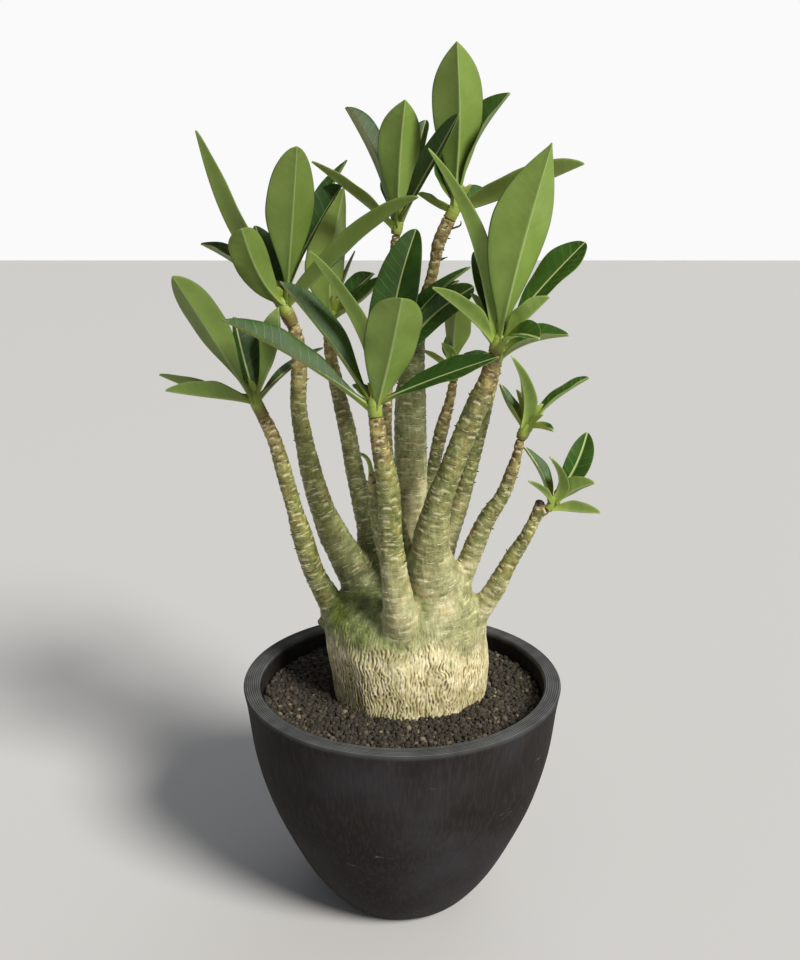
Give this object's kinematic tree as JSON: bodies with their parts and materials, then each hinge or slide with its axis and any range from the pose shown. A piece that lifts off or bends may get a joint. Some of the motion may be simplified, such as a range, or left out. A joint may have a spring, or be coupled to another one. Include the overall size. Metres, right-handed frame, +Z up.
{
  "type": "potted desert rose",
  "caption": "Desert rose with a swollen pale trunk, forked stems and heads of leathery leaves, in gritty mix in a round tapered pot.",
  "frame": {"origin": "middle of the pot's flat underside", "axes": "+Z up out of the pot, -Y towards the viewer's front of the plant, +X to the right seen from the front"},
  "size_m": [0.2611, 0.2, 0.5246],
  "materials": {
    "pot": "matte",
    "substrate": "rough",
    "bark": "wrinkled",
    "leaf": "satin"
  },
  "bodies": {
    "root": {"pot": "pot", "substrate": "substrate", "caudex": "bark", "leaf_head_far_left": "leaf", "leaf_head_low_left": "leaf", "leaf_head_back_left": "leaf", "leaf_head_front": "leaf", "leaf_head_middle": "leaf", "leaf_head_crown": "leaf", "leaf_head_top": "leaf", "leaf_head_back_right": "leaf", "leaf_head_right": "leaf", "leaf_head_behind_right": "leaf", "leaf_head_outer_right": "leaf", "leaf_head_side_shoot": "leaf"}
  },
  "joints": []
}
